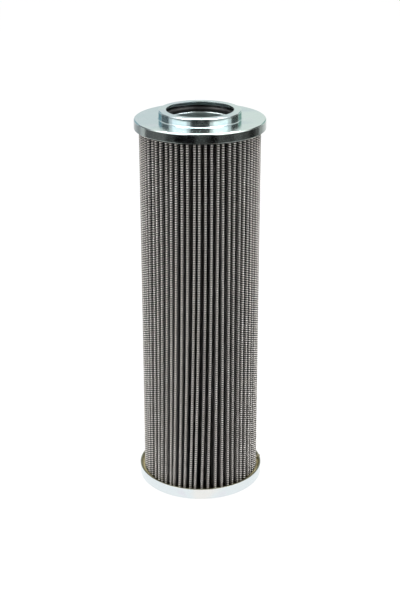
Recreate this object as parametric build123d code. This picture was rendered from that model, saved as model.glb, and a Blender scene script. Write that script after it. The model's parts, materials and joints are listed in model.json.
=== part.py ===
from build123d import *
import math
import os

# Pleated hydraulic filter element, in millimetres.
# It stands on its closed end cap: the origin is the middle of the underside, +Z is up the axis.

# Driving dimensions ---------------------------------------------------------------------------

# end caps
OVERALL_HEIGHT = 264.0
CAP_DIAMETER = 86.0
TOP_SHEET = 1.5             # sheet of the open cap
BOTTOM_SHEET = 1.2          # sheet of the closed cap
TOP_SKIRT_DEPTH = 6.5       # from the flange's top face to the skirt's lower edge
BOTTOM_SKIRT_HEIGHT = 8.0
CAP_EDGE_RADIUS = 1.5       # outside radius where flange turns into skirt
EDGE_BREAK = 0.3            # chamfer on a cut rim

# collar, bore and seal
BORE_DIAMETER = 44.0
COLLAR_HEIGHT = 5.5
COLLAR_EDGE_RADIUS = 1.2
COLLAR_ROOT_RADIUS = 0.7
SEAL_CORD = 3.53
SEAL_PROUD = 0.08           # how far the seal stands into the bore
SEAL_GAP = 0.05             # seal to the walls of its groove

# seat ring: closes the groove from below and leads the spigot into the core
RING_SHEET = 1.2
RING_FLANGE_WIDTH = 7.5     # flat of the ring that lies under the cap's flange
RING_SLEEVE_LENGTH = 16.0
RING_EDGE_RADIUS = 0.7
RING_LEAD = 0.5             # chamfer that leads the sleeve into the core tube

# perforated core tube
CORE_SHEET = 0.8
CORE_CLEARANCE = 0.15       # core tube over the ring's sleeve
HOLE_DIAMETER = 8.0
HOLE_RING_PITCH = 25.0      # round the tube, middle to middle
HOLE_ROW_PITCH = 28.0       # up the tube, row to row
HOLE_MARGIN = 12.0          # plain wall left at the bottom, and below the sleeve at the top

# pleated pack
OUTER_MESH_THICKNESS = 0.30
MEDIA_THICKNESS = 0.30
INNER_MESH_THICKNESS = 0.25
LAYER_GAP = 0.02
FOLD_INSIDE_RADIUS = 0.08
ROOT_PITCH = 2.5            # least spacing of the folds at the core
PACK_TO_SKIRT = 1.5         # crests to the open cap's skirt
PACK_TO_CORE = 0.25
CREASE_CORNERS = 3          # a hidden fold is creased in this many corners
TIGHT_CORNERS = 2           # and in this many where it is folded tight
TIGHT_FOLD = 0.2

# seam clip
CLIP_SHEET = 0.3
CLIP_DEPTH = 6.0            # from the crest down the flanks
CLIP_GAP = 0.03

# potting resin
BOTTOM_RESIN_DEPTH = 4.8
TOP_RESIN_SETBACK = 0.5     # resin face to the skirt's lower edge
BOND_GAP = 0.02

# Worked-out sizes -----------------------------------------------------------------------------

CAP_RADIUS = CAP_DIAMETER / 2
BORE_RADIUS = BORE_DIAMETER / 2

FLANGE_TOP = OVERALL_HEIGHT - COLLAR_HEIGHT
FLANGE_UNDER = FLANGE_TOP - TOP_SHEET
SKIRT_BOTTOM = FLANGE_TOP - TOP_SKIRT_DEPTH
LIP_UNDER = OVERALL_HEIGHT - TOP_SHEET
SKIRT_INSIDE = CAP_RADIUS - TOP_SHEET

SEAL_INSIDE = BORE_RADIUS - SEAL_PROUD
GROOVE_RADIUS = SEAL_INSIDE + SEAL_CORD + SEAL_GAP
COLLAR_RADIUS = GROOVE_RADIUS + TOP_SHEET

SLEEVE_RADIUS = BORE_RADIUS + RING_SHEET
SLEEVE_BOTTOM = FLANGE_UNDER - RING_SLEEVE_LENGTH
RING_RADIUS = GROOVE_RADIUS + RING_FLANGE_WIDTH

CORE_INSIDE = SLEEVE_RADIUS + CORE_CLEARANCE
CORE_RADIUS = CORE_INSIDE + CORE_SHEET

PACK_BOTTOM = BOTTOM_SHEET + BOTTOM_RESIN_DEPTH
PACK_TOP = SKIRT_BOTTOM + TOP_RESIN_SETBACK
PACK_HEIGHT = PACK_TOP - PACK_BOTTOM
PACK_RADIUS = SKIRT_INSIDE - PACK_TO_SKIRT
PACK_INSIDE = CORE_RADIUS + PACK_TO_CORE

MEDIA_DEPTH = OUTER_MESH_THICKNESS + LAYER_GAP
INNER_MESH_DEPTH = MEDIA_DEPTH + MEDIA_THICKNESS + LAYER_GAP
PACK_THICKNESS = INNER_MESH_DEPTH + INNER_MESH_THICKNESS
FOLD_RADIUS = PACK_THICKNESS + FOLD_INSIDE_RADIUS

CREST_CENTRE = PACK_RADIUS - FOLD_RADIUS    # circle of the crests' fold centres
ROOT_CENTRE = PACK_INSIDE + FOLD_RADIUS     # circle of the roots' fold centres
PLEATS = int(2 * math.pi * ROOT_CENTRE / ROOT_PITCH)
HALF_PITCH = math.pi / PLEATS
FRONT = -math.pi / 2                        # a crest faces -Y


# Helpers --------------------------------------------------------------------------------------

def polar(radius, angle):
    return Vector(radius * math.cos(angle), radius * math.sin(angle))


def turned(*points):
    """A solid of revolution about Z from a closed (radius, height) outline."""
    outline = Polyline(*[(r, 0, z) for r, z in points], close=True)
    return revolve(make_face(outline), Axis.Z)


def ring_edges(solid, radius, height):
    """The circular edges of a turned solid at one radius and height."""
    near = 1e-3
    return [
        edge for edge in solid.edges().filter_by(GeomType.CIRCLE)
        if abs(edge.radius - radius) < near and abs(edge.center().Z - height) < near
    ]


def flank_turn():
    """Angle from a crest's outward direction to the normal of the flank beside it."""
    crest, root = polar(CREST_CENTRE, 0), polar(ROOT_CENTRE, HALF_PITCH)
    along = (root - crest).normalized()
    lean = (2 * FOLD_RADIUS - PACK_THICKNESS) / (root - crest).length
    across = Vector(along.Y, -along.X)
    normal = along * lean + across * math.sqrt(1 - lean ** 2)
    return math.atan2(normal.Y, normal.X)


FLANK_TURN = flank_turn()


def rounded_fold(centre, facing, radius, way):
    """An arc over one fold, from one flank to the other."""
    return ThreePointArc(*[
        centre + polar(radius, facing + way * turn) for turn in (-FLANK_TURN, 0, FLANK_TURN)
    ])


def creased_fold(centre, facing, radius, way):
    """The same fold with flats that touch the arc."""
    corners = TIGHT_CORNERS if radius < TIGHT_FOLD else CREASE_CORNERS
    half_step = FLANK_TURN / corners
    reach = radius / math.cos(half_step)
    return Polyline(*[
        centre + polar(reach, facing + way * (half_step * (2 * k + 1) - FLANK_TURN))
        for k in range(corners)
    ])


def fold_outline(depth, crest_fold=creased_fold, root_fold=creased_fold):
    """The pack's closed outline, all the way round, at a depth below its outer face."""
    crest_radius = FOLD_RADIUS - depth
    root_radius = FOLD_RADIUS - PACK_THICKNESS + depth
    folds = []
    for pleat in range(PLEATS):
        crest_angle = FRONT + 2 * pleat * HALF_PITCH
        root_angle = crest_angle + HALF_PITCH
        folds.append(crest_fold(polar(CREST_CENTRE, crest_angle), crest_angle, crest_radius, 1))
        folds.append(
            root_fold(polar(ROOT_CENTRE, root_angle), root_angle + math.pi, root_radius, -1)
        )
    flanks = [Line(a @ 1, b @ 0) for a, b in zip(folds, folds[1:] + folds[:1])]
    edges = [edge for fold, flank in zip(folds, flanks) for edge in (*fold.edges(), flank)]
    return Wire(edges)


def pleated_layer(outer, inner):
    """One folded sheet of the pack, between two closed outlines."""
    return Pos(Z=PACK_BOTTOM) * extrude(Face(outer, [inner]), PACK_HEIGHT, dir=(0, 0, 1))


# Pieces ---------------------------------------------------------------------------------------

def top_end_cap():
    """Open cap, drawn from sheet: skirt, flange, and a collar turned in to a lip over the seal."""
    cap = turned(
        (CAP_RADIUS, SKIRT_BOTTOM),
        (CAP_RADIUS, FLANGE_TOP),
        (COLLAR_RADIUS, FLANGE_TOP),
        (COLLAR_RADIUS, OVERALL_HEIGHT),
        (BORE_RADIUS, OVERALL_HEIGHT),
        (BORE_RADIUS, LIP_UNDER),
        (GROOVE_RADIUS, LIP_UNDER),
        (GROOVE_RADIUS, FLANGE_UNDER),
        (SKIRT_INSIDE, FLANGE_UNDER),
        (SKIRT_INSIDE, SKIRT_BOTTOM),
    )
    cap = fillet(ring_edges(cap, CAP_RADIUS, FLANGE_TOP), CAP_EDGE_RADIUS)
    cap = fillet(ring_edges(cap, COLLAR_RADIUS, OVERALL_HEIGHT), COLLAR_EDGE_RADIUS)
    cap = fillet(ring_edges(cap, COLLAR_RADIUS, FLANGE_TOP), COLLAR_ROOT_RADIUS)
    cap = chamfer(ring_edges(cap, BORE_RADIUS, OVERALL_HEIGHT), EDGE_BREAK)
    return chamfer(ring_edges(cap, CAP_RADIUS, SKIRT_BOTTOM), EDGE_BREAK)


def bore_seal():
    """The O-ring that lies in the collar, on the seat ring."""
    middle = SEAL_INSIDE + SEAL_CORD / 2
    height = FLANGE_UNDER + SEAL_GAP + SEAL_CORD / 2
    return Pos(Z=height) * Torus(middle, SEAL_CORD / 2)


def seal_seat_ring():
    """Flanged sleeve under the cap: its flat holds the seal up, its sleeve guides the spigot."""
    ring_under = FLANGE_UNDER - RING_SHEET
    ring = turned(
        (BORE_RADIUS, FLANGE_UNDER),
        (RING_RADIUS, FLANGE_UNDER),
        (RING_RADIUS, ring_under),
        (SLEEVE_RADIUS, ring_under),
        (SLEEVE_RADIUS, SLEEVE_BOTTOM),
        (BORE_RADIUS, SLEEVE_BOTTOM),
    )
    ring = fillet(ring_edges(ring, BORE_RADIUS, FLANGE_UNDER), RING_EDGE_RADIUS)
    return chamfer(ring_edges(ring, SLEEVE_RADIUS, SLEEVE_BOTTOM), RING_LEAD)


def core_tube():
    """Perforated tube that carries the pack against the flow; the holes are staggered."""
    tube = Cylinder(CORE_RADIUS, PACK_HEIGHT) - Cylinder(CORE_INSIDE, PACK_HEIGHT)
    tube = Pos(Z=PACK_BOTTOM + PACK_HEIGHT / 2) * tube
    first = PACK_BOTTOM + HOLE_MARGIN
    last = SLEEVE_BOTTOM - HOLE_MARGIN
    rows = int((last - first) / HOLE_ROW_PITCH) + 1
    round_tube = int(2 * math.pi * CORE_RADIUS / HOLE_RING_PITCH)
    spacing = (last - first) / max(rows - 1, 1)
    punch = Rot(Y=90) * Cylinder(
        HOLE_DIAMETER / 2, 2 * CORE_RADIUS, align=(Align.CENTER, Align.CENTER, Align.MIN)
    )
    holes = [
        Pos(Z=first + row * spacing) * Rot(Z=360 / round_tube * (column + row % 2 / 2)) * punch
        for row in range(rows) for column in range(round_tube)
    ]
    return tube - holes


def outer_wire_mesh():
    """Folded wire cloth on the outside of the pack, with round crests."""
    return pleated_layer(fold_outline(0, crest_fold=rounded_fold), fold_outline(OUTER_MESH_THICKNESS))


def filter_media():
    """Folded glass-fibre web with its fleeces, between the two cloths."""
    return pleated_layer(fold_outline(MEDIA_DEPTH), fold_outline(MEDIA_DEPTH + MEDIA_THICKNESS))


def inner_wire_mesh():
    """Folded wire cloth on the inside of the pack."""
    return pleated_layer(fold_outline(INNER_MESH_DEPTH), fold_outline(PACK_THICKNESS))


def seam_clip():
    """Folded strip crimped over the pleat at the back, where the pack's two ends meet."""
    crest_angle = FRONT + 2 * (PLEATS // 2) * HALF_PITCH
    centre = polar(CREST_CENTRE, crest_angle)
    inside = FOLD_RADIUS + CLIP_GAP
    arcs = [
        rounded_fold(centre, crest_angle, radius, 1) for radius in (inside, inside + CLIP_SHEET)
    ]
    edges = list(arcs)
    for end, side in ((0, -1), (1, 1)):
        flank = crest_angle + side * (FLANK_TURN + math.pi / 2)
        down = polar(CLIP_DEPTH, flank)
        legs = [Line(arc @ end, arc @ end + down) for arc in arcs]
        edges += [*legs, Line(legs[0] @ 1, legs[1] @ 1)]
    profile = Face(Wire(edges))
    return Pos(Z=PACK_BOTTOM) * extrude(profile, PACK_HEIGHT, dir=(0, 0, 1))


def top_resin():
    """Potting resin in the open cap, round the seat ring; the pack and core end at its face."""
    ring_under = FLANGE_UNDER - RING_SHEET
    return turned(
        (SLEEVE_RADIUS + BOND_GAP, PACK_TOP),
        (SKIRT_INSIDE - BOND_GAP, PACK_TOP),
        (SKIRT_INSIDE - BOND_GAP, FLANGE_UNDER),
        (RING_RADIUS + BOND_GAP, FLANGE_UNDER),
        (RING_RADIUS + BOND_GAP, ring_under),
        (SLEEVE_RADIUS + BOND_GAP, ring_under),
    )


def bottom_resin():
    """Potting resin in the closed cap; the pack and core stand on its face."""
    inside = CAP_RADIUS - BOTTOM_SHEET - BOND_GAP
    disc = Cylinder(
        inside, BOTTOM_RESIN_DEPTH, align=(Align.CENTER, Align.CENTER, Align.MIN)
    )
    return Pos(Z=BOTTOM_SHEET) * disc


def bottom_end_cap():
    """Closed cap: a shallow drawn cup."""
    inside = CAP_RADIUS - BOTTOM_SHEET
    cup = turned(
        (0, 0),
        (CAP_RADIUS, 0),
        (CAP_RADIUS, BOTTOM_SKIRT_HEIGHT),
        (inside, BOTTOM_SKIRT_HEIGHT),
        (inside, BOTTOM_SHEET),
        (0, BOTTOM_SHEET),
    )
    cup = fillet(ring_edges(cup, CAP_RADIUS, 0), CAP_EDGE_RADIUS)
    return chamfer(ring_edges(cup, CAP_RADIUS, BOTTOM_SKIRT_HEIGHT), EDGE_BREAK)


PIECES = (
    top_end_cap,
    bore_seal,
    seal_seat_ring,
    core_tube,
    outer_wire_mesh,
    filter_media,
    inner_wire_mesh,
    seam_clip,
    top_resin,
    bottom_resin,
    bottom_end_cap,
)

os.makedirs("parts", exist_ok=True)
for piece in PIECES:
    export_step(piece(), f"parts/{piece.__name__}.step")
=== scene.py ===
"""Looks of the pleated hydraulic filter element, as a Blender add-on that runs as a script."""

import json
import math

import bpy
import numpy as np
from mathutils import Matrix, Vector


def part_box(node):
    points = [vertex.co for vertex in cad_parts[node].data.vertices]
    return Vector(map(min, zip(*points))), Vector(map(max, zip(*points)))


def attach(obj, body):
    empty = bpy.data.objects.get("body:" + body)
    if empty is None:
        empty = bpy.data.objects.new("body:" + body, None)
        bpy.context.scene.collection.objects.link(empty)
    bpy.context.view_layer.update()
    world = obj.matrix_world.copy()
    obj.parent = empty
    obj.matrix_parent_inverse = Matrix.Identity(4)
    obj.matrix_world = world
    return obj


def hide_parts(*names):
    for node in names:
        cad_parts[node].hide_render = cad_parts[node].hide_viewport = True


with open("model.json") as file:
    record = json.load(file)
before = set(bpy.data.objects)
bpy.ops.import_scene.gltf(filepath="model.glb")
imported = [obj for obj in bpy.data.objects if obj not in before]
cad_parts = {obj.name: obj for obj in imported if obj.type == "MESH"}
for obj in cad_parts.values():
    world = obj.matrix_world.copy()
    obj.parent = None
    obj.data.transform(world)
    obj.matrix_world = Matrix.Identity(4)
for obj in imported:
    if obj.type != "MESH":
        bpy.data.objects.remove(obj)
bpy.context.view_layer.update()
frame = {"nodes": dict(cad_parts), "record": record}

bl_info = {
    "name": "Pleated filter element",
    "version": (1, 0, 0),
    "blender": (4, 5, 0),
    "location": "3D View > Sidebar > Filter",
    "description": "Builds a pleated hydraulic filter element around its packed solids",
    "category": "Object",
}

MM = 0.001
TURN = 2 * math.pi
FRONT = -math.pi / 2        # azimuth of -Y, where the first crest faces
WHITE = (1.0, 1.0, 1.0)
MERGE = 1e-6                # points nearer than this become one
RING_SLACK = 0.02 * MM      # how far from a circle its edges may lie
SHARP = math.radians(40)    # turned edges over this angle stay sharp
SHARP_FOLD = math.radians(50)
ARC_POINTS = 6              # of a weft wire over one crest
FLOOR_GLOW = 1.03           # a little over white, so that no horizon shows
ABOUT_AXIS = {"center": (0, 0, 0), "axis": (0, 0, 1)}

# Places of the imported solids, in metres.
BOX = {name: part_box(name) for name in frame["nodes"]}
CAP_RADIUS = BOX["top_end_cap"][1].x
TOP = BOX["top_end_cap"][1].z
SKIRT_BOTTOM = BOX["top_end_cap"][0].z
CUP_TOP = BOX["bottom_end_cap"][1].z
PACK_BOTTOM = BOX["outer_wire_mesh"][0].z
PACK_TOP = BOX["outer_wire_mesh"][1].z
PACK_HEIGHT = PACK_TOP - PACK_BOTTOM
PACK_RADIUS = -BOX["outer_wire_mesh"][0].y
RING_RADIUS = BOX["seal_seat_ring"][1].x
SLEEVE_BOTTOM = BOX["seal_seat_ring"][0].z
SEAL_LOW, SEAL_HIGH = BOX["bore_seal"]
BORE_RADIUS = frame["record"]["mounts"][0]["dims"]["r_mm"] * MM


# Properties

def length(name, description, default):
    return bpy.props.FloatProperty(
        name=name, description=description, default=default, min=0.0, precision=5, unit="LENGTH"
    )


def mm(name, description, millimetres):
    return length(name, description, millimetres * MM)


def angle(name, description, degrees):
    return bpy.props.FloatProperty(
        name=name, description=description, default=math.radians(degrees), subtype="ANGLE"
    )


def number(name, description, default):
    return bpy.props.IntProperty(name=name, description=description, default=default, min=1)


def amount(name, description, default):
    return bpy.props.FloatProperty(name=name, description=description, default=default, min=0.0)


def colour(name, description, default):
    return bpy.props.FloatVectorProperty(
        name=name, description=description, default=default, size=3, min=0.0, max=1.0,
        subtype="COLOR",
    )


class CapSizes(bpy.types.PropertyGroup):
    """Sheets and rounded edges of the end caps and the seat ring."""

    top_sheet: mm("Open cap sheet", "Sheet thickness of the open cap", 1.5)
    cup_sheet: mm("Closed cap sheet", "Sheet thickness of the closed cap", 1.2)
    ring_sheet: mm("Seat ring sheet", "Sheet thickness of the seat ring", 1.2)
    collar_height: mm("Collar height", "Collar above the flange", 5.5)
    groove_gap: mm("Groove gap", "Seal to the wall of its groove", 0.05)
    flange_round: mm("Flange edge", "Rounding where flange turns into skirt", 1.1)
    cap_round: mm("Cap edge", "Rounding where wall turns into face", 1.5)
    collar_round: mm("Collar edge", "Rounding on the collar's top edge", 0.9)
    root_round: mm("Collar root", "Hollow where collar meets flange", 0.7)
    rim_round: mm("Rim", "Broken edge of a cut rim", 0.3)
    ring_round: mm("Ring edge", "Rounding of the seat ring's inner edge", 0.7)
    climb: mm("Resin climb", "From the closed cap's rim down to the resin's edge", 0.12)
    meniscus: mm("Resin width", "How far the climbing resin reaches in from the wall", 1.7)
    drip: mm("Drip", "Half the width of the drip on the rim", 2.1)
    ring_lead: mm("Ring lead", "Chamfer at the end of the ring's sleeve", 0.5)


class PackSizes(bpy.types.PropertyGroup):
    """How the pack is folded and how its pleats have settled."""

    pleats: number("Pleats", "Folds round the pack", 63)
    inside: mm("Pack inside", "Inside radius of the pack", 24.4)
    fold: mm("Fold radius", "Outside radius of one fold", 0.97)
    thickness: mm("Pack thickness", "All layers together", 0.89)
    cloth_sheet: mm("Outer cloth", "Thickness of the outer cloth deep in the folds", 0.12)
    media_depth: mm("Media depth", "Face of the media below the pack's face", 0.45)
    media_sheet: mm("Media sheet", "Thickness of the filter media", 0.20)
    inner_sheet: mm("Inner cloth", "Thickness of the inner cloth", 0.20)
    rows: number("Rows", "Rows of faces up a folded sheet", 12)
    lean: angle("Lean", "Sideways drift of the front crests at the bottom", 5.6)
    crowding: angle("Crowding", "Uneven spacing of the crests", 0.5)
    sink: mm("Sink", "How far single crests stand back", 0.25)
    seed: number("Seed", "Seed of the uneven folds", 8)


class ClothSizes(bpy.types.PropertyGroup):
    """The wires of the outer cloth."""

    pitch: mm("Mesh pitch", "Spacing of the wires", 25.4 / 16)
    weft: mm("Weft wire", "Radius of the wires that run round the pack", 0.38)
    warp: mm("Warp wire", "Radius of the wires that run up the pack", 0.11)
    wave: mm("Wave", "How far a wire swings over and under the others", 0.05)
    leg: mm("Leg", "How far the modelled wires run down a flank", 5.0)


class FinishColours(bpy.types.PropertyGroup):
    """Lightest and darkest colour of each finish."""

    zinc_cool: colour("Zinc, cool", "Bluish bloom on the open cap", (0.56, 0.655, 0.68))
    zinc_warm: colour("Zinc, warm", "Yellowish bloom on the open cap", (0.68, 0.77, 0.73))
    zinc_blush: colour("Zinc, blush", "Faint rainbow in the plate", (0.72, 0.66, 0.76))
    cup_cool: colour("Closed cap, cool", "Bluish bloom on the closed cap", (0.74, 0.80, 0.82))
    cup_warm: colour("Closed cap, warm", "Yellowish bloom on the closed cap", (0.80, 0.80, 0.78))
    cut_edge: colour("Cut edge", "Bare steel where the sheet was cut", (0.21, 0.21, 0.145))
    steel_dark: colour("Strip steel, dark", "Core tube and clip", (0.56, 0.58, 0.59))
    steel_light: colour("Strip steel, light", "Core tube and clip", (0.62, 0.62, 0.61))
    wire_dark: colour("Wire, dark", "Wires of the outer cloth", (0.83, 0.79, 0.745))
    wire_light: colour("Wire, light", "Wires of the outer cloth", (0.97, 0.94, 0.90))
    # Painted shade: the upright wires are darker than the weft wires, as if in their shade.
    upright_dark: colour("Upright wire, dark", "Wires that run up the pack", (0.58, 0.555, 0.52))
    upright_light: colour("Upright wire, light", "Wires that run up the pack", (0.70, 0.67, 0.64))
    # Painted shade in the hollows between the weft rows, where the wires cross.
    wire_hollow: colour("Wire hollows", "Where the wires cross", (0.10, 0.096, 0.09))
    # Painted shade: the darker colour of the outer cloth's wires down in the folds.
    deep_wire: colour("Deep wire", "Outer cloth down in the folds", (0.30, 0.285, 0.27))
    deep_window: colour("Deep window", "Between the wires down in the folds", (0.06, 0.058, 0.055))
    inner_wire: colour("Inner wire", "Cloth on the inside of the pack", (0.50, 0.47, 0.44))
    inner_window: colour("Inner window", "Media behind the inner cloth", (0.30, 0.29, 0.27))
    media_dark: colour("Media, dark", "Filter media", (0.014, 0.017, 0.020))
    media_light: colour("Media, light", "Filter media", (0.036, 0.039, 0.043))
    # Painted light: the media's lighter colour near the pack's face.
    media_outer: colour("Media, outer", "Filter media under the crests", (0.07, 0.068, 0.065))
    # Painted shade: the resin's colour down between the pleats and where it stands over the rim.
    resin_deep: colour("Resin, deep", "Potting resin in the folds", (0.035, 0.030, 0.018))
    resin_dark: colour("Resin, dark", "Potting resin", (0.20, 0.17, 0.075))
    resin_light: colour("Resin, light", "Potting resin", (0.48, 0.43, 0.24))
    rubber_dark: colour("Rubber, dark", "Bore seal", (0.012, 0.012, 0.012))
    rubber_light: colour("Rubber, light", "Dust on the bore seal", (0.03, 0.03, 0.03))


class StageSizes(bpy.types.PropertyGroup):
    """Camera, lights and screens."""

    distance: length("Camera distance", "From the element's axis to the camera", 0.8230)
    aside: mm("Camera aside", "Left of the element's axis", 0.2)
    height: length("Camera height", "Above the floor", 0.4594)
    pitch: angle("Camera pitch", "Downward tilt of the camera", 21.735)
    roll: angle("Camera roll", "Tilt of the camera about its view", 0.09)
    lens: bpy.props.FloatProperty(
        name="Lens", description="Focal length on a 36 mm sensor", default=77.755, unit="CAMERA"
    )
    box_light: amount("Soft box", "Brightness of the two soft boxes", 1.0)
    top_light: amount("Top light", "Brightness of the overhead light", 19.0)
    room_light: amount("Room light", "Light from all round", 0.45)


# Modelling helpers

def mode(kind):
    bpy.ops.object.mode_set(mode=kind)


def select_mesh():
    bpy.ops.mesh.select_all(action="SELECT")


def up(height):
    return Vector((0, 0, height))


def named(piece, name):
    """Gives a piece and its mesh one name."""
    piece.name = piece.data.name = name
    return piece


def deselect():
    """Leaves edit mode and selects nothing; the loaded solids are selected at the start."""
    if bpy.context.object and bpy.context.object.mode != "OBJECT":
        mode("OBJECT")
    bpy.ops.object.select_all(action="DESELECT")


def activate(*pieces):
    """Selects only these pieces and makes the first the active one."""
    deselect()
    for piece in pieces:
        piece.select_set(True)
    bpy.context.view_layer.objects.active = pieces[0]


def start_at(name, place):
    """A new object in edit mode that holds one selected point."""
    deselect()
    bpy.ops.mesh.primitive_plane_add(size=MM)
    piece = named(bpy.context.object, name)
    mode("EDIT")
    bpy.ops.mesh.select_mode(type="VERT")
    bpy.ops.mesh.merge(type="CENTER")
    bpy.ops.transform.translate(value=place)
    return piece


def draw(places):
    """Extrudes the selected end of an outline from the first place through the rest."""
    for start, end in zip(places, places[1:]):
        bpy.ops.mesh.extrude_vertices_move(
            TRANSFORM_OT_translate={"value": Vector(end) - Vector(start)}
        )


def close_up():
    """Merges doubles and turns every face outwards."""
    select_mesh()
    bpy.ops.mesh.remove_doubles(threshold=MERGE)
    bpy.ops.mesh.normals_make_consistent(inside=False)


def points_of(piece):
    values = np.empty(len(piece.data.vertices) * 3)
    piece.data.vertices.foreach_get("co", values)
    return values.reshape(-1, 3)


def azimuth_of(points):
    return np.arctan2(points[:, 1], points[:, 0])


def put_points(piece, points):
    piece.data.vertices.foreach_set("co", points.ravel())
    piece.data.update()


def pick_edges(piece, what, choose):
    """Selects the edges that choose marks, given all points and both ends of every edge."""
    bpy.ops.mesh.select_mode(type="EDGE")
    bpy.ops.mesh.select_all(action="DESELECT")
    mode("OBJECT")
    ends = np.empty(len(piece.data.edges) * 2, int)
    piece.data.edges.foreach_get("vertices", ends)
    chosen = choose(points_of(piece), ends.reshape(-1, 2))
    if not chosen.any():
        raise RuntimeError(f"{piece.name} has no {what}")
    piece.data.edges.foreach_set("select", chosen)
    mode("EDIT")


def select_ring(piece, radius, height):
    """Selects the edges that lie on one circle about the axis."""
    def on_ring(points, ends):
        off = np.hypot(np.hypot(points[:, 0], points[:, 1]) - radius, points[:, 2] - height)
        return (off[ends] < RING_SLACK).all(axis=1)

    pick_edges(piece, f"ring at radius {radius:.4f} and height {height:.4f}", on_ring)


def turned(name, outline, rounds=(), steps=180):
    """A turned piece: a (radius, height) outline spun about the axis, then its rings rounded."""
    places = [(radius, 0, height) for radius, height in outline]
    piece = start_at(name, places[0])
    draw(places)
    select_mesh()
    bpy.ops.mesh.spin(steps=steps, angle=-TURN, **ABOUT_AXIS)
    close_up()
    for radius, height, size, segments in rounds:
        select_ring(piece, radius, height)
        bpy.ops.mesh.bevel(offset=size, segments=segments, profile=0.5, affect="EDGES")
    close_up()
    mode("OBJECT")
    bpy.ops.object.shade_smooth_by_angle(angle=SHARP)
    modify(piece, "WEIGHTED_NORMAL", keep_sharp=True)
    return piece


def modify(piece, kind, **settings):
    """Adds a modifier, sets it and applies it."""
    activate(piece)
    bpy.ops.object.modifier_add(type=kind)
    modifier = piece.modifiers[-1]
    for key, value in settings.items():
        setattr(modifier, key, value)
    bpy.ops.object.modifier_apply(modifier=modifier.name)


def repeat_round(piece, count, step, **settings):
    """Repeats a piece about the axis, count times, one step of azimuth apart."""
    deselect()
    bpy.ops.object.empty_add(location=(0, 0, 0), rotation=(0, 0, step))
    pivot = bpy.context.object
    modify(
        piece, "ARRAY", count=count, use_relative_offset=False, use_object_offset=True,
        offset_object=pivot, **settings,
    )
    bpy.data.objects.remove(pivot)


def wire(name, places, radius):
    """A round wire along a line of places."""
    start_at(name, places[0])
    draw(places)
    mode("OBJECT")
    bpy.ops.object.convert(target="CURVE")
    piece = bpy.context.object
    piece.data.bevel_depth = radius
    piece.data.bevel_resolution = 0
    piece.data.use_fill_caps = True
    bpy.ops.object.convert(target="MESH")
    piece = bpy.context.object
    mode("EDIT")
    close_up()
    mode("OBJECT")
    bpy.ops.object.shade_smooth()
    return piece


def join(name, *pieces):
    activate(*pieces)
    bpy.ops.object.join()
    return named(pieces[0], name)


def copy_of(piece, name):
    """A copy with its own mesh."""
    activate(piece)
    bpy.ops.object.duplicate(linked=False)
    return named(bpy.context.object, name)


def dress(piece, slot, material, *nodes):
    """Gives a piece its finish, its body and the solids that it stands for."""
    piece.data.materials.clear()
    piece.data.materials.append(material)
    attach(piece, "root")
    if nodes:
        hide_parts(*nodes)


def repaint(node, material):
    """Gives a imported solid, which keeps its shape, a finish."""
    solid = frame["nodes"][node]
    if not solid.material_slots:
        solid.data.materials.append(material)
    for slot in solid.material_slots:
        slot.material = material


# Shader helpers

class Link:
    """A node's output, with arithmetic that adds Math nodes."""

    def __init__(self, finish, socket):
        self.finish = finish
        self.socket = socket

    def math(self, operation, *others):
        """A Math node on this value and any others."""
        return self.finish.add("Math", {"operation": operation}, self, *others)

    def __add__(self, other):
        return self.math("ADD", other)

    __radd__ = __add__

    def __sub__(self, other):
        return self.math("SUBTRACT", other)

    def __rsub__(self, other):
        return self.math("MULTIPLY", -1).math("ADD", other)

    def __mul__(self, other):
        return self.math("MULTIPLY", other)

    __rmul__ = __mul__

    def ramp(self, low, high, first=0.0, last=1.0):
        """A smooth step from first to last as the value goes from low to high."""
        smooth = {"interpolation_type": "SMOOTHSTEP"}
        return self.finish.add("MapRange", smooth, self, low, high, first, last)


class Nodes:
    """A node tree, emptied, and the nodes that go into it."""

    def __init__(self, tree):
        self.tree = tree
        tree.nodes.clear()

    def put(self, socket, value):
        if isinstance(value, Link):
            self.tree.links.new(value.socket, socket)
        elif socket.type == "RGBA":
            socket.default_value = (*value, 1.0)
        else:
            socket.default_value = value

    def add(self, kind, settings=None, *values, out=0, **named):
        """Adds any node: its settings first, then what goes into its sockets."""
        node = self.tree.nodes.new("ShaderNode" + kind)
        for key, value in (settings or {}).items():
            setattr(node, key, value)
        for socket, value in [*enumerate(values), *named.items()]:
            self.put(node.inputs[socket], value)
        return Link(self, node.outputs[out]) if node.outputs else node

    def seen(self):
        """1 for the camera, and for metal and glass that mirror the scene."""
        outputs = self.add("LightPath").socket.node.outputs
        eye, glossy, through = [
            Link(self, outputs[f"Is {kind} Ray"]) for kind in ("Camera", "Glossy", "Transmission")
        ]
        return eye.math("MAXIMUM", glossy).math("MAXIMUM", through)


def new_material(name):
    material = bpy.data.materials.new(name)
    material.use_nodes = True
    return material


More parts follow.
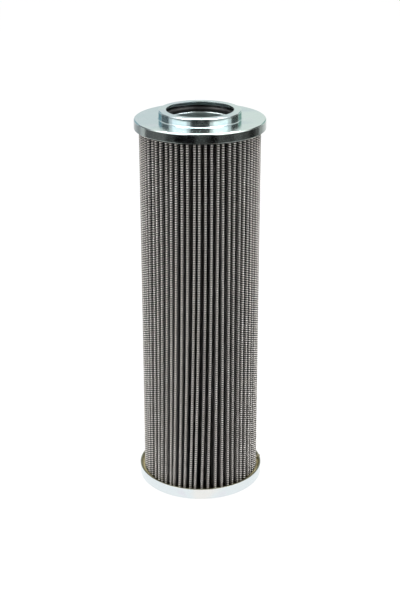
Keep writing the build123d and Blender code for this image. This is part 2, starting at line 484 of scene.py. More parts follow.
class Finish(Nodes):
    """A new material with one shader, and the nodes that feed it."""

    def __init__(self, name, **constants):
        self.material = new_material(name)
        super().__init__(self.material.node_tree)
        self.shader = self.add("BsdfPrincipled").socket.node
        self.add("OutputMaterial", {}, Link(self, self.shader.outputs[0]))
        self.feed(**constants)

    def feed(self, **named):
        """Joins values to the shader's sockets."""
        for key, value in named.items():
            self.put(self.shader.inputs[key.replace("_", " ")], value)

    def place(self, kind="Object"):
        """Object coordinates, or the piece's own map, as x, y and z."""
        split = self.add("SeparateXYZ", {}, self.add("TexCoord", out=kind))
        return [Link(self, output) for output in split.socket.node.outputs]

    def vector(self, x, y, z):
        return self.add("CombineXYZ", {}, x, y, z)

    def noise(self, vector, scale, detail=2.0, roughness=0.5):
        return self.add(
            "TexNoise", {}, Vector=vector, Scale=scale, Detail=detail, Roughness=roughness
        )

    def blend(self, factor, first, second):
        """Mixes two colours."""
        mix = self.add("Mix", {"data_type": "RGBA"}, out=2).socket.node
        for index, value in ((0, factor), (6, first), (7, second)):
            self.put(mix.inputs[index], value)
        return Link(self, mix.outputs[2])

    def outward(self, x, y, low, high):
        """A smooth step as the distance from the axis goes from low to high."""
        return (x * x + y * y).math("SQRT").ramp(low, high)

    def relief(self, height, distance):
        """Joins a bump to the shader's normal."""
        self.feed(Normal=self.add("Bump", {}, Distance=distance, Height=height))


# Finishes

def colours():
    return bpy.context.scene.filter_finish


def across(x):
    """Painted reflection: cool on the left and warm on the right."""
    return x * 4.0


def reflection_midway(x):
    """Painted reflection: warm in the middle and cool on both sides."""
    return 0.12 - x.math("ABSOLUTE") * 12.0


def plated(name, cool, warm, roughness, grain, drawn=0.0, edge=None, matt=None, drift=across):
    """Zinc plate: a bloom of colour with a painted reflection tint drifting across it, the grain of
    drawn sheet and a bare cut edge.
    """
    finish = Finish(name, Metallic=1.0)
    x, y, z = finish.place()
    spot = finish.vector(x, y, z)
    # The bloom's noise is random; the drift added to it paints a reflection tint across the piece.
    bloom = finish.noise(spot, 38.0, 3.0) + drift(x)
    blush = finish.noise(finish.vector(y, z, x), 70.0, 2.0)
    cloud = finish.noise(spot, 420.0, 3.0, 0.6)
    speck = finish.noise(spot, 2200.0, 2.0, 0.6)
    tone = finish.blend(bloom.ramp(0.35, 0.65), cool, warm)
    tone = finish.blend(blush.ramp(0.55, 0.70) * 0.25, tone, colours().zinc_blush)
    rough = (cloud - 0.5) * 0.08 + (speck - 0.5) * 0.03 + roughness
    if edge:
        cut = (z - edge).math("ABSOLUTE").ramp(0.08 * MM, 0.16 * MM, 1.0, 0.0)
        tone = finish.blend(cut, tone, colours().cut_edge)
        rough = rough + cut * 0.25
    if matt:
        rough = rough + (z - matt).math("ABSOLUTE").ramp(0.1 * MM, 0.3 * MM, 1.0, 0.0) * 0.05
    finish.feed(Base_Color=tone, Roughness=rough)
    side = finish.outward(x, y, CAP_RADIUS - MM, CAP_RADIUS - 0.3 * MM)
    finish.relief((cloud * 0.6 + speck * 0.4) * (side * drawn + 1.0), 0.06 * MM * grain)
    return finish.material


def nitrile():
    """Black rubber with a little bloom on it."""
    finish = Finish("nitrile_rubber", IOR=1.5)
    dust = finish.noise(finish.vector(*finish.place()), 900.0, 3.0)
    black = finish.blend(dust.ramp(0.4, 0.75), colours().rubber_dark, colours().rubber_light)
    finish.feed(Base_Color=black, Roughness=dust * 0.2 + 0.3)
    finish.relief(dust, 0.02 * MM)
    return finish.material


def cloth_wire(name, dark, light):
    """Matt, slightly warm steel wire, with painted shade in the hollows between the weft rows,
    where the wires cross, and painted shade down between the pleats.
    """
    finish = Finish(name, Metallic=0.45)
    x, y, z = finish.place()
    spot = finish.vector(x, y, z)
    tone = finish.noise(spot, 160.0, 3.0)
    scratch = finish.noise(spot, 2400.0, 2.0)
    # Painted shade: the wires darken inward from the pack's face, down between the pleats.
    out = finish.outward(x, y, PACK_RADIUS - 2.6 * MM, PACK_RADIUS - 0.4 * MM)
    pitch = bpy.context.scene.filter_cloth.pitch
    # Painted shade: each weft is lighter along its middle and darker above and below it, towards
    # the hollows between the rows.
    painted_weft_shade = ((z - weft_foot(pitch)) * (TURN / pitch)).math("COSINE").ramp(-0.25, 0.85)
    bare = finish.blend(tone.ramp(0.35, 0.65), dark, light)
    bare = finish.blend(painted_weft_shade, colours().wire_hollow, bare)
    bare = finish.blend(out, colours().deep_wire, bare)
    finish.feed(Base_Color=bare, Roughness=scratch * 0.3 + 0.35)
    return finish.material


def fleece():
    """The support fleece of the filter media, with painted light near the pack's face."""
    finish = Finish("media_fleece")
    x, y, z = finish.place()
    fibre = finish.noise(finish.vector(x, y, z * 0.4), 1800.0, 4.0, 0.65)
    # Painted light and shade: the media is lighter near the pack's face and darker deeper in the
    # folds.
    out = finish.outward(x, y, PACK_RADIUS - 2.2 * MM, PACK_RADIUS - 0.6 * MM)
    web = finish.blend(fibre.ramp(0.3, 0.7), colours().media_dark, colours().media_light)
    finish.feed(Base_Color=finish.blend(out, web, colours().media_outer), Roughness=0.75)
    finish.relief(fibre, 0.04 * MM)
    return finish.material


def weft_rows(pitch):
    """How many weft wires the pack's height holds."""
    return int(PACK_HEIGHT / pitch)


def weft_foot(pitch):
    """Height of the lowest weft wire."""
    return PACK_BOTTOM + (PACK_HEIGHT - (weft_rows(pitch) - 1) * pitch) / 2


def woven(name, wire_tone, window_tone):
    """Wire cloth drawn on a sheet's own map, whose unit is one mesh."""
    finish = Finish(name, Roughness=0.45)
    warp, weft = [(way * TURN).math("COSINE") * 0.5 + 0.5 for way in finish.place("UV")[:2]]
    wires = weft.math("POWER", 1.5).math("MAXIMUM", warp.math("POWER", 3.0))
    cover = wires.ramp(0.35, 0.7)
    finish.feed(Base_Color=finish.blend(cover, window_tone, wire_tone), Metallic=cover * 0.6)
    finish.relief(wires, 0.25 * MM)
    return finish.material


def epoxy():
    """Cast amber-olive potting resin, with painted shade down between the pleats and where it
    stands over the rim.
    """
    finish = Finish("potting_epoxy", IOR=1.52)
    x, y, z = finish.place()
    flow = finish.noise(finish.vector(x, y, z), 130.0, 3.0)
    # Painted shade: the resin is darkened inside the pack's face, down between the pleats.
    clear = finish.outward(x, y, PACK_RADIUS - 0.6 * MM, PACK_RADIUS + 0.4 * MM)
    cast = finish.blend(flow.ramp(0.3, 0.7), colours().resin_dark, colours().resin_light)
    # Painted shade: the resin is darker where it stands above the rim, as on the drip.
    over_rim_shade = z.ramp(CUP_TOP - 0.3 * MM, CUP_TOP + 0.3 * MM, 0.0, 0.65)
    cast = finish.blend(over_rim_shade, cast, colours().resin_deep)
    finish.feed(
        Base_Color=finish.blend(clear, colours().resin_deep, cast), Roughness=flow * 0.25 + 0.2
    )
    finish.relief(flow, 0.3 * MM)
    return finish.material


# The pack's folds

def polar(radius, azimuth):
    return Vector((radius * math.cos(azimuth), radius * math.sin(azimuth), 0))


def ways(azimuth):
    """Flat directions, one for each azimuth."""
    return np.stack([np.cos(azimuth), np.sin(azimuth)], 1)


def turned_by(flat, azimuth):
    """Flat points turned about the axis."""
    turn = np.exp(1j * azimuth) * (flat[:, 0] + 1j * flat[:, 1])
    return np.stack([turn.real, turn.imag], 1)


class Fold:
    """Where one fold's arcs and flanks lie, the first crest facing the front."""

    def __init__(self, sizes):
        self.sizes = sizes
        self.step = TURN / sizes.pleats
        self.crest = polar(PACK_RADIUS - sizes.fold, FRONT)
        self.root = polar(sizes.inside + sizes.fold, FRONT + self.step / 2)
        along = (self.root - self.crest).normalized()
        across = Vector((along.y, -along.x, 0)) * -1
        lean = (2 * sizes.fold - sizes.thickness) / (self.root - self.crest).length
        normal = along * lean - across * math.sqrt(1 - lean ** 2)
        self.turn = (math.atan2(normal.y, normal.x) - FRONT + math.pi) % TURN - math.pi
        self.reach = (self.root - self.crest).length * math.sqrt(1 - lean ** 2)

    def on_crest(self, depth, turn):
        """A point on the crest's arc, turned away from the way that it faces."""
        return self.crest + polar(self.sizes.fold - depth, FRONT + turn)

    def on_flank(self, depth, side, along):
        """A point on the flank beside the first crest, some way in from the arc's end."""
        down = FRONT + side * (self.turn + math.pi / 2)
        return self.on_crest(depth, side * self.turn) + polar(along, down)

    def slide(self, offset, shift):
        """Slides points, given from the first crest's centre, along the cloth over that crest."""
        fold, turn = self.sizes.fold, self.turn
        angle = (np.arctan2(offset[:, 1], offset[:, 0]) - FRONT + math.pi) % TURN - math.pi
        side = np.where(angle < 0, -1, 1)

        def flank(side):
            return ways(FRONT + side * turn), ways(FRONT + side * (turn + math.pi / 2))

        out, down = flank(side)
        on_arc = np.abs(angle) <= turn
        depth = fold - np.where(on_arc, np.hypot(*offset.T), (offset * out).sum(1))
        along = np.where(on_arc, angle * fold, side * (turn * fold + (offset * down).sum(1)))
        along = along + shift
        side = np.where(along < 0, -1, 1)
        out, down = flank(side)
        over = np.clip(np.abs(along) - turn * fold, 0, None)[:, None]
        facing = np.where(over > 0, out, ways(FRONT + along / fold))
        return facing * (fold - depth)[:, None] + down * over


class Settling:
    """How the folds have moved from their even places: they lean, crowd and sink."""

    CALM = 3                                # pleats beside the clip that hardly move
    LEAN_MIDDLE = math.radians(4)
    LEAN_LEFT, LEAN_RIGHT = math.radians(60), math.radians(13)
    ROOT_SHARE = 0.15                       # of two crests' turns that their root follows
    LOOSE = 6 * MM                          # down to this depth a fold moves with its crest

    def __init__(self, sizes):
        chance = np.random.default_rng(sizes.seed)
        self.sizes = sizes
        self.step = TURN / sizes.pleats
        count = sizes.pleats
        still = np.abs((np.arange(count) - count // 2 + count / 2) % count - count / 2)
        calm = np.clip(still / self.CALM, 0, 1)
        self.at_top = chance.normal(0, 1, count) * sizes.crowding * calm
        self.at_foot = chance.normal(0, 1, count) * sizes.crowding * calm
        self.bow = chance.normal(0, 1, count) * sizes.crowding * 0.5 * calm
        self.depth = chance.uniform(0, 1, (3, count)) * sizes.sink * calm
        self.rise = chance.uniform(-0.5, 0.5, count)
        self.slip = chance.uniform(-0.5, 0.5, (2, count))

    def turn_of(self, crest, fall):
        """How far a crest has gone round, at a share of the way down the pack."""
        crest = crest % self.sizes.pleats
        azimuth = (crest * self.step + math.pi) % TURN - math.pi
        off = azimuth - self.LEAN_MIDDLE
        width = np.where(off < 0, self.LEAN_LEFT, self.LEAN_RIGHT)
        lean = -self.sizes.lean * fall ** 2 * np.exp(-((off / width) ** 2))
        return (
            lean + self.at_top[crest] * (1 - fall) + self.at_foot[crest] * fall
            + self.bow[crest] * np.sin(math.pi * fall)
        )

    def slip_weave(self, piece, pitch):
        """Moves a weave's wires, still on even folds, along and up the cloth."""
        fold = Fold(self.sizes)
        points = points_of(piece)
        azimuth = azimuth_of(points)
        crest = np.round((azimuth - FRONT) / self.step).astype(int)
        pleat = crest % self.sizes.pleats
        fall = (PACK_TOP - points[:, 2]) / PACK_HEIGHT
        flat = turned_by(points[:, :2], -crest * self.step) - np.array(fold.crest[:2])
        shift = (self.slip[0][pleat] * (1 - fall) + self.slip[1][pleat] * fall) * pitch
        flat = fold.slide(flat, shift) + np.array(fold.crest[:2])
        points[:, :2] = turned_by(flat, crest * self.step)
        points[:, 2] += self.rise[pleat] * 0.2 * pitch
        put_points(piece, points)

    def settle(self, piece):
        """Moves a piece's points with the folds that they are on."""
        points = points_of(piece)
        radius = np.hypot(points[:, 0], points[:, 1])
        azimuth = azimuth_of(points)
        place = (azimuth - FRONT) / self.step
        fall = np.clip((PACK_TOP - points[:, 2]) / PACK_HEIGHT, 0, 1)
        crest = np.round(place).astype(int)
        before = np.floor(place).astype(int)
        outside = np.clip(
            (radius - (self.sizes.inside + self.sizes.fold * 2))
            / (PACK_RADIUS - self.LOOSE - self.sizes.inside - self.sizes.fold * 2), 0, 1,
        )
        outside = outside * outside * (3 - 2 * outside)
        root_turn = (self.turn_of(before, fall) + self.turn_of(before + 1, fall)) * self.ROOT_SHARE
        turn = self.turn_of(crest, fall) * outside + root_turn * (1 - outside)
        top, foot, middle = self.depth[:, crest % self.sizes.pleats]
        wave = (top * (1 - fall) + foot * fall + middle * np.sin(math.pi * fall)) * 0.5
        radius = radius - wave * outside
        points[:, 0] = radius * np.cos(azimuth + turn)
        points[:, 1] = radius * np.sin(azimuth + turn)
        put_points(piece, points)


def folded_sheet(name, fold, depth, thickness, pitch, start=0.0, arc_steps=6):
    """One folded layer of the pack, from one pleat's line repeated all the way round.

    With a start, the layer begins that far down each flank and only lines the roots.
    """
    sizes = fold.sizes
    base = up(PACK_BOTTOM)
    sweep = 2 * fold.turn
    if start:
        piece = start_at(name, fold.on_flank(depth, 1, start) + base)
        draw([fold.on_flank(depth, 1, start), fold.on_flank(depth, 1, fold.reach)])
    else:
        piece = start_at(name, fold.on_crest(depth, -fold.turn) + base)
        bpy.ops.mesh.spin(
            steps=arc_steps, angle=-sweep, center=fold.crest + base, axis=(0, 0, 1)
        )
        draw([fold.on_crest(depth, fold.turn), fold.on_flank(depth, 1, fold.reach)])
    bpy.ops.mesh.spin(steps=arc_steps, angle=sweep, center=fold.root + base, axis=(0, 0, 1))
    far_side = Matrix.Rotation(fold.step, 3, "Z")
    draw([
        far_side @ fold.on_flank(depth, -1, fold.reach), far_side @ fold.on_flank(depth, -1, start)
    ])
    select_mesh()
    bpy.ops.mesh.extrude_region_move(TRANSFORM_OT_translate={"value": up(PACK_HEIGHT)})
    pick_edges(
        piece, "edge up the pack",
        lambda points, ends: np.abs(np.diff(points[ends, 2])[:, 0]) > PACK_HEIGHT / 2,
    )
    bpy.ops.mesh.subdivide(number_cuts=sizes.rows - 1)
    mode("OBJECT")
    map_sheet(piece, pitch)
    repeat_round(
        piece, sizes.pleats, fold.step, use_merge_vertices=True, use_merge_vertices_cap=True,
        merge_threshold=MERGE,
    )
    activate(piece)
    mode("EDIT")
    close_up()
    mode("OBJECT")
    modify(piece, "SOLIDIFY", thickness=thickness, offset=-1, use_even_offset=True, use_rim=True)
    bpy.ops.object.shade_smooth_by_angle(angle=SHARP_FOLD)
    return piece


def map_sheet(piece, pitch):
    """Maps a pleat in meshes: u along the fold, in whole meshes to a pleat, and v up the sheet."""
    points = points_of(piece)
    flat = np.unique(points[:, :2].round(7), axis=0)
    first = points[np.argmin(azimuth_of(points)), :2]
    order = [int(np.argmin(np.hypot(*(flat - first).T)))]
    left = set(range(len(flat))) - set(order)
    while left:
        here = flat[order[-1]]
        near = min(left, key=lambda k: np.hypot(*(flat[k] - here)))
        order.append(near)
        left.remove(near)
    run = np.concatenate([[0], np.cumsum(np.hypot(*np.diff(flat[order], axis=0).T))])
    meshes = round(run[-1] / pitch)
    along = np.empty(len(flat))
    along[order] = run / run[-1] * meshes
    nearest = np.hypot(
        points[:, None, 0] - flat[None, :, 0], points[:, None, 1] - flat[None, :, 1]
    ).argmin(axis=1)
    layer = piece.data.uv_layers.new(name="mesh_map")
    corner = np.empty(len(piece.data.loops), int)
    piece.data.loops.foreach_get("vertex_index", corner)
    values = np.column_stack([along[nearest], (points[:, 2] - weft_foot(pitch)) / pitch])
    layer.data.foreach_set("uv", values[corner].ravel())


# Operators

class EndCaps(bpy.types.Operator):
    """Turn the open cap with its collar and the closed cap, and round their edges"""

    bl_idname = "filter.end_caps"
    bl_label = "End caps"

    def execute(self, context):
        caps = context.scene.filter_caps
        flange = TOP - caps.collar_height
        under = flange - caps.top_sheet
        lip_under = TOP - caps.top_sheet
        groove = SEAL_HIGH.x + caps.groove_gap
        collar = groove + caps.top_sheet
        skirt = CAP_RADIUS - caps.top_sheet
        tints = colours()
        open_cap = turned(
            "open_end_cap",
            [
                (CAP_RADIUS, SKIRT_BOTTOM), (CAP_RADIUS, flange), (collar, flange), (collar, TOP),
                (BORE_RADIUS, TOP), (BORE_RADIUS, lip_under), (groove, lip_under),
                (groove, under), (skirt, under), (skirt, SKIRT_BOTTOM), (CAP_RADIUS, SKIRT_BOTTOM),
            ],
            [
                (CAP_RADIUS, flange, caps.flange_round, 8),
                (collar, TOP, caps.collar_round, 8),
                (collar, flange, caps.root_round, 6),
                (BORE_RADIUS, TOP, caps.rim_round / 2, 2),
                (BORE_RADIUS, lip_under, caps.rim_round / 2, 2),
                (CAP_RADIUS, SKIRT_BOTTOM, caps.rim_round, 3),
                (skirt, SKIRT_BOTTOM, caps.rim_round / 2, 2),
            ],
        )
        metal = plated(
            "zinc_plate", tints.zinc_cool, tints.zinc_warm, 0.13, 0.05,
            drawn=14.0, edge=SKIRT_BOTTOM, matt=flange,
        )
        dress(open_cap, "zinc_plate", metal, "top_end_cap")
        wall = CAP_RADIUS - caps.cup_sheet
        closed_cap = turned(
            "closed_end_cap",
            [
                (0, 0), (CAP_RADIUS, 0), (CAP_RADIUS, CUP_TOP), (wall, CUP_TOP),
                (wall, caps.cup_sheet), (0, caps.cup_sheet),
            ],
            [
                (CAP_RADIUS, 0, caps.cap_round, 8),
                (CAP_RADIUS, CUP_TOP, caps.rim_round, 3),
                (wall, CUP_TOP, caps.rim_round, 3),
            ],
        )
        # Painted reflection: the closed cap's tint drifts from cool at the sides to warm in the
        # middle.
        metal = plated(
            "pale_zinc_plate", tints.cup_cool, tints.cup_warm, 0.18, 0.12,
            drawn=2.0, edge=CUP_TOP, drift=reflection_midway,
        )
        dress(closed_cap, "zinc_plate", metal, "bottom_end_cap")
        return {"FINISHED"}


class SealAndSeat(bpy.types.Operator):
    """Turn the bore seal and the flanged ring that it lies on"""

    bl_idname = "filter.seal_and_seat"
    bl_label = "Bore seal and seat ring"

    def execute(self, context):
        caps = context.scene.filter_caps
        deselect()
        cord = (SEAL_HIGH.z - SEAL_LOW.z) / 2
        bpy.ops.mesh.primitive_circle_add(
            vertices=24, radius=cord, rotation=(math.pi / 2, 0, 0),
            location=(SEAL_HIGH.x - cord, 0, (SEAL_HIGH.z + SEAL_LOW.z) / 2),
        )
        seal = named(bpy.context.object, "nitrile_seal")
        bpy.ops.object.transform_apply()
        mode("EDIT")
        select_mesh()
        bpy.ops.mesh.spin(steps=144, angle=-TURN, **ABOUT_AXIS)
        close_up()
        mode("OBJECT")
        bpy.ops.object.shade_smooth()
        dress(seal, "seal_rubber", nitrile(), "bore_seal")

        over = BOX["seal_seat_ring"][1].z
        under = over - caps.ring_sheet
        sleeve = BORE_RADIUS + caps.ring_sheet
        ring = turned(
            "seat_ring",
            [
                (BORE_RADIUS, over), (RING_RADIUS, over), (RING_RADIUS, under), (sleeve, under),
                (sleeve, SLEEVE_BOTTOM), (BORE_RADIUS, SLEEVE_BOTTOM), (BORE_RADIUS, over),
            ],
            [
                (BORE_RADIUS, over, caps.ring_round, 6),
                (sleeve, under, caps.ring_round, 4),
                (sleeve, SLEEVE_BOTTOM, caps.ring_lead, 1),
            ],
        )
        metal = plated("ring_zinc", colours().zinc_cool, colours().zinc_warm, 0.30, 0.15)
        dress(ring, "zinc_plate", metal, "seal_seat_ring")
        return {"FINISHED"}


class PackLayers(bpy.types.Operator):
    """Fold the three layers of the pack and let them settle"""

    bl_idname = "filter.pack_layers"
    bl_label = "Folded layers"

    def execute(self, context):
        sizes = context.scene.filter_pack
        tints = colours()
        cloth = context.scene.filter_cloth
        fold = Fold(sizes)
        settling = Settling(sizes)
        layers = (
            (
                "outer_cloth", "outer_wire_mesh", "wire_cloth",
                # Painted shade: the outer cloth's wires deep in the folds take a darker colour.
                woven("outer_cloth", tints.deep_wire, tints.deep_window),
                sizes.media_depth - 2 * sizes.cloth_sheet, sizes.cloth_sheet, cloth.leg,
            ),
            (
                "media_web", "filter_media", "glass_fibre",
                fleece(), sizes.media_depth, sizes.media_sheet, 0,
            ),
            (
                "inner_cloth", "inner_wire_mesh", "wire_cloth",
                woven("inner_cloth", tints.inner_wire, tints.inner_window),
                sizes.thickness - sizes.inner_sheet, sizes.inner_sheet, 0,
            ),
        )
        for name, node, slot, material, depth, sheet, start in layers:
            piece = folded_sheet(name, fold, depth, sheet, cloth.pitch, start)
            settling.settle(piece)
            dress(piece, slot, material, node)
        return {"FINISHED"}


class OuterWires(bpy.types.Operator):
    """Weave the wires of the outer cloth over every crest"""

    bl_idname = "filter.outer_wires"
    bl_label = "Outer cloth wires"

    def execute(self, context):
        sizes = context.scene.filter_pack
        cloth = context.scene.filter_cloth
        fold = Fold(sizes)
        settling = Settling(sizes)
        tints = colours()
        bright = cloth_wire("weft_wire", tints.wire_dark, tints.wire_light)
        # Painted shade: the warp wires take darker colours than the weft wires.
        shaded_warp = cloth_wire("warp_wire", tints.upright_dark, tints.upright_light)
        rows = weft_rows(cloth.pitch)
        foot = weft_foot(cloth.pitch)

        def weft(row):
            height = up(foot + row * cloth.pitch)
            places = [fold.on_flank(cloth.weft, -1, cloth.leg)]
            for k in range(ARC_POINTS):
                turn = fold.turn * (2 * k / (ARC_POINTS - 1) - 1)
                swing = math.cos(math.pi * (sizes.fold * turn / cloth.pitch - 0.5)) * (-1) ** row
                places.append(fold.on_crest(cloth.weft + cloth.wave * (1 - swing), turn))
            places.append(fold.on_flank(cloth.weft, 1, cloth.leg))
            return wire("weft", [place + height for place in places], cloth.weft)

        def warp(along):
            """A wire up the cloth; it swings against the weft wires."""
            turn = along / sizes.fold
            places = []
            for row in range(rows):
                swing = math.copysign(1, along) * (-1) ** (row + 1)
                depth = sizes.media_depth - cloth.warp * (1 + 0.5 * swing)
                place = fold.on_crest(depth, turn)
                places.append(place + up(foot + row * cloth.pitch))
            return wire("warp", places, cloth.warp)

        def straight_warp(side, along):
            low, high = (
                fold.on_flank(sizes.media_depth - cloth.warp, side, along) + up(height)
                for height in (PACK_BOTTOM, PACK_TOP)
            )
            step = (high - low) / sizes.rows
            return wire("warp", [low + step * k for k in range(sizes.rows + 1)], cloth.warp)

        weave = join("weave", weft(0), weft(1))
        modify(
            weave, "ARRAY", count=rows // 2, use_relative_offset=False, use_constant_offset=True,
            constant_offset_displace=(0, 0, 2 * cloth.pitch),
        )
        half = cloth.pitch / 2
        over = fold.turn * sizes.fold
        upright = join(
            "upright", warp(half), warp(-half),
            *[
                straight_warp(side, k * cloth.pitch + half - over)
                for side in (-1, 1) for k in (1, 2)
            ],
        )

        def spread(source, name, first, count, metal):
            """Copies one crest's wires to a run of crests and lets them settle."""
            piece = copy_of(source, name)
            points = points_of(piece)
            points[:, :2] = turned_by(points[:, :2], first * fold.step)
            put_points(piece, points)
            repeat_round(piece, count, fold.step)
            settling.slip_weave(piece, cloth.pitch)
            settling.settle(piece)
            dress(piece, "wire_cloth", metal, "outer_wire_mesh")

        bands = 4
        share = -(-sizes.pleats // bands)
        for band in range(bands):
            first = band * share
            count = min(share, sizes.pleats - first)
            spread(weave, f"outer_weft_{band + 1}", first, count, bright)
        spread(upright, "outer_warp", 0, sizes.pleats, shaded_warp)
        for piece in (weave, upright):
            bpy.data.objects.remove(piece)
        return {"FINISHED"}


class InsideParts(bpy.types.Operator):
    """Finish the core tube, the seam clip and the potting resin"""

    bl_idname = "filter.inside_parts"
    bl_label = "Core, clip and resin"

    def execute(self, context):
        steel = plated("strip_steel", colours().steel_dark, colours().steel_light, 0.34, 0.5)
        resin = epoxy()
        for node in ("core_tube", "seam_clip"):
            repaint(node, steel)
        for node in ("top_resin", "bottom_resin"):
            repaint(node, resin)
        return {"FINISHED"}


class ResinEdge(bpy.types.Operator):
    """Run the resin up the closed cap's wall, with one drip over the rim"""

    bl_idname = "filter.resin_edge"
    bl_label = "Resin edge and drip"

    def execute(self, context):
        caps = context.scene.filter_caps
        wall = CAP_RADIUS - caps.cup_sheet
        face = BOX["bottom_resin"][1].z
        top = CUP_TOP - caps.climb
        rise = top - face
        low = face - 0.1 * MM               # sunk a little into the resin
        curve = [
            (wall - caps.meniscus * (1 - math.cos(turn)), top - rise * math.sin(turn))
            for turn in (math.radians(step) for step in (20, 38, 56, 74, 88))
        ]
        outline = [(wall, low), (wall, top), *curve, (curve[-1][0], low), (wall, low)]
        edge = turned("resin_edge", outline)
        points = points_of(edge)
        azimuth = azimuth_of(points)
        share = np.clip((points[:, 2] - face) / rise, 0, 1)
        swell = np.sin(3 * azimuth + 1) + 0.7 * np.sin(7 * azimuth + 2) + 0.5 * np.sin(13 * azimuth)
        points[:, 2] -= share * (swell + 2.2) * 0.09 * rise
        put_points(edge, points)

        deselect()
        bpy.ops.mesh.primitive_uv_sphere_add(segments=24, ring_count=14, radius=caps.drip)
        drip = bpy.context.object
        points = points_of(drip) / caps.drip
        hang = np.clip(-points[:, 0], 0, 1)
        points = points * (0.66, 1.0, 0.5) + hang[:, None] * (-0.7, 0, -0.6)
        points[:, 1] *= 1 - 0.35 * hang
        points[:, 0] += 0.15 * np.sin(3 * points[:, 1])
        side = math.radians(7.5)
        place = polar(CAP_RADIUS - 0.55 * caps.drip, side)
        points[:, :2] = turned_by(points[:, :2] * caps.drip, side) + np.array(place[:2])
        points[:, 2] = points[:, 2] * caps.drip + CUP_TOP - 0.05 * caps.drip
        put_points(drip, points)
        bpy.ops.object.shade_smooth()
        dress(join("resin_edge", edge, drip), "potting_resin", epoxy())
        return {"FINISHED"}


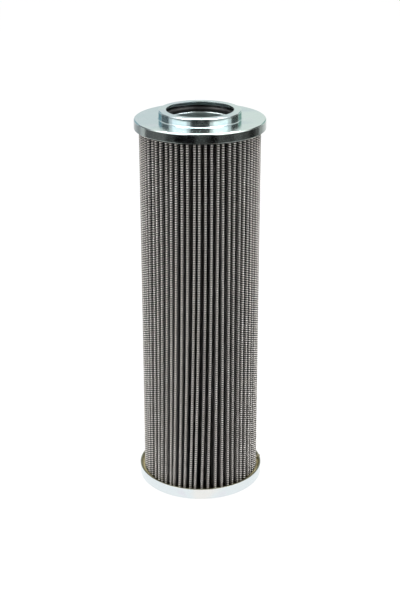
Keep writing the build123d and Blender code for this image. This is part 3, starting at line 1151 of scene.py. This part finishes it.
class Stage(bpy.types.Operator):
    """Set the camera, the floor, the lights and the screens that the metal mirrors"""

    bl_idname = "filter.stage"
    bl_label = "Stage"

    def execute(self, context):
        stage = context.scene.filter_stage
        scene = context.scene
        deselect()
        bpy.ops.object.camera_add(
            location=(-stage.aside, -stage.distance, stage.height),
            rotation=(math.pi / 2 - stage.pitch, 0, 0),
        )
        camera = bpy.context.object
        camera.rotation_euler.rotate_axis("Z", -stage.roll)
        camera.data.lens = stage.lens
        camera.data.sensor_width = 36
        scene.camera = camera
        scene.view_settings.view_transform = "Standard"

        deselect()
        bpy.ops.mesh.primitive_plane_add(size=12, location=(0, 0, -0.05 * MM))
        floor = bpy.context.object
        floor.name = "floor"
        floor.data.materials.append(pale("floor_white", (0.86, 0.86, 0.86), 0.95))

        world = bpy.data.worlds.new("room")
        scene.world = world
        world.use_nodes = True
        nodes = Nodes(world.node_tree)
        dim = nodes.add("Background", {}, WHITE, stage.room_light)
        white = nodes.add("Background", {}, WHITE, 1.0)
        nodes.add("OutputWorld", {}, nodes.add("MixShader", {}, nodes.seen(), dim, white))

        aim = up(0.15)
        # Name, azimuth, level, width, height, distance, brightness or tone. The low cards
        # stand behind the boxes, for views from behind.
        for box in (
            ("box_left", -59, 30, 0.75, 0.85, 0.95, stage.box_light),
            ("box_right", 59, 30, 0.75, 0.85, 0.95, stage.box_light),
            ("overhead", 0, 93, 1.3, 0.38, 1.1, stage.top_light),
        ):
            self.soft_box(*box, aim)
        cap = up(0.26)
        for card in (
            ("card_front", 0, 28, 0.78, 0.95, 0.80, (0.03, 0.03, 0.03)),
            ("card_left", -112, 15, 0.50, 0.5, 0.80, (0.11, 0.13, 0.14)),
            ("card_right", 112, 15, 0.50, 0.5, 0.80, (0.035, 0.04, 0.04)),
            ("card_rear_left", -146, 12, 0.40, 0.3, 0.80, (0.20, 0.38, 0.43)),
            ("card_rear_right", 146, 12, 0.40, 0.3, 0.80, (0.24, 0.40, 0.37)),
            ("card_back", 180, 14, 0.62, 0.62, 0.85, (0.78, 0.84, 0.83)),
            ("card_low_left", -59, 5, 0.80, 0.21, 1.10, (0.25, 0.25, 0.25)),
            ("card_low_right", 59, 5, 0.80, 0.21, 1.10, (0.25, 0.25, 0.25)),
        ):
            self.card(*card, cap)
        self.ground("ground_near", -40, 40, 0.10, 0.55, (0.08, 0.08, 0.08))
        # Tones of the ground some way off, from behind on the left round to behind on the right.
        first = -180
        for last, tone in (
            (-150, 0.68), (-137, 0.50), (-123, 0.38), (-108, 0.52), (-60, 0.12), (-44, 0.04),
            (-8, 0.0), (8, 0.05), (16, 0.025), (30, 0.0), (44, 0.055), (60, 0.04), (76, 0.09),
            (92, 0.06), (108, 0.02), (122, 0.09), (137, 0.38), (152, 0.60), (180, 0.80),
        ):
            self.ground(f"ground_{last + 180:03d}", first, last, 0.55, 2.2, (tone, tone, tone))
            first = last
        return {"FINISHED"}

    @staticmethod
    def placed(azimuth, level, far, aim):
        """A place seen from the element, and the turn that faces it back."""
        azimuth, level = math.radians(azimuth), math.radians(level)
        way = Vector((
            math.sin(azimuth) * math.cos(level), -math.cos(azimuth) * math.cos(level),
            math.sin(level),
        ))
        return aim + way * far, way.to_track_quat("Z", "Y").to_euler()

    def soft_box(self, name, azimuth, level, wide, tall, far, glow, aim):
        place, turn = self.placed(azimuth, level, far, aim)
        deselect()
        bpy.ops.object.light_add(type="AREA", location=place, rotation=turn)
        light = bpy.context.object
        light.name = name
        light.data.shape = "RECTANGLE"
        light.data.size = wide
        light.data.size_y = tall
        light.data.energy = glow * math.pi * wide * tall
        light.visible_camera = False

    def card(self, name, azimuth, level, wide, tall, far, tone, aim):
        place, turn = self.placed(azimuth, level, far, aim)
        deselect()
        bpy.ops.mesh.primitive_plane_add(size=1, location=place, rotation=turn)
        card = bpy.context.object
        card.name = name
        card.scale = (wide, tall, 1)
        bpy.ops.object.transform_apply()
        self.screen(card, tone)

    def ground(self, name, first, last, near, far, tone):
        """A sector of grey ground some way off, which only the metal sees."""
        first, last = FRONT + math.radians(first), FRONT + math.radians(last)
        card = start_at(name, polar(near, first) + up(MM))
        draw([polar(near, first), polar(far, first)])
        select_mesh()
        bpy.ops.mesh.spin(steps=24, angle=first - last, **ABOUT_AXIS)
        mode("OBJECT")
        self.screen(card, tone)

    @staticmethod
    def screen(card, tone):
        """Makes a card shine with one tone, which only metal mirrors."""
        material = new_material(card.name)
        nodes = Nodes(material.node_tree)
        nodes.add("OutputMaterial", {}, nodes.add("Emission", {}, tone))
        card.data.materials.append(material)
        for kind in ("camera", "diffuse", "transmission", "shadow", "volume_scatter"):
            setattr(card, f"visible_{kind}", False)


def pale(name, tone, share):
    """A floor that shows white to the camera and to metal, and still takes a shadow."""
    material = new_material(name)
    nodes = Nodes(material.node_tree)
    matt = nodes.add("BsdfDiffuse", {}, tone)
    glow = nodes.add("Emission", {}, WHITE, FLOOR_GLOW)
    nodes.add("OutputMaterial", {}, nodes.add("MixShader", {}, nodes.seen() * share, matt, glow))
    return material


PIECES = (Stage, EndCaps, SealAndSeat, PackLayers, OuterWires, InsideParts, ResinEdge)


class FilterPanel(bpy.types.Panel):
    """The element's pieces, in the order in which they are made"""

    bl_idname = "VIEW3D_PT_filter"
    bl_label = "Filter element"
    bl_space_type = "VIEW_3D"
    bl_region_type = "UI"
    bl_category = "Filter"

    def draw(self, context):
        for piece in PIECES:
            self.layout.operator(piece.bl_idname)


GROUPS = {
    "filter_caps": CapSizes,
    "filter_pack": PackSizes,
    "filter_cloth": ClothSizes,
    "filter_finish": FinishColours,
    "filter_stage": StageSizes,
}
KINDS = (*GROUPS.values(), *PIECES, FilterPanel)


def register():
    for kind in KINDS:
        bpy.utils.register_class(kind)
    for name, kind in GROUPS.items():
        setattr(bpy.types.Scene, name, bpy.props.PointerProperty(type=kind))


def unregister():
    for name in GROUPS:
        delattr(bpy.types.Scene, name)
    for kind in reversed(KINDS):
        bpy.utils.unregister_class(kind)


def main():
    register()
    for piece in PIECES:
        group, name = piece.bl_idname.split(".")
        getattr(getattr(bpy.ops, group), name)()


if __name__ == "__main__":
    main()
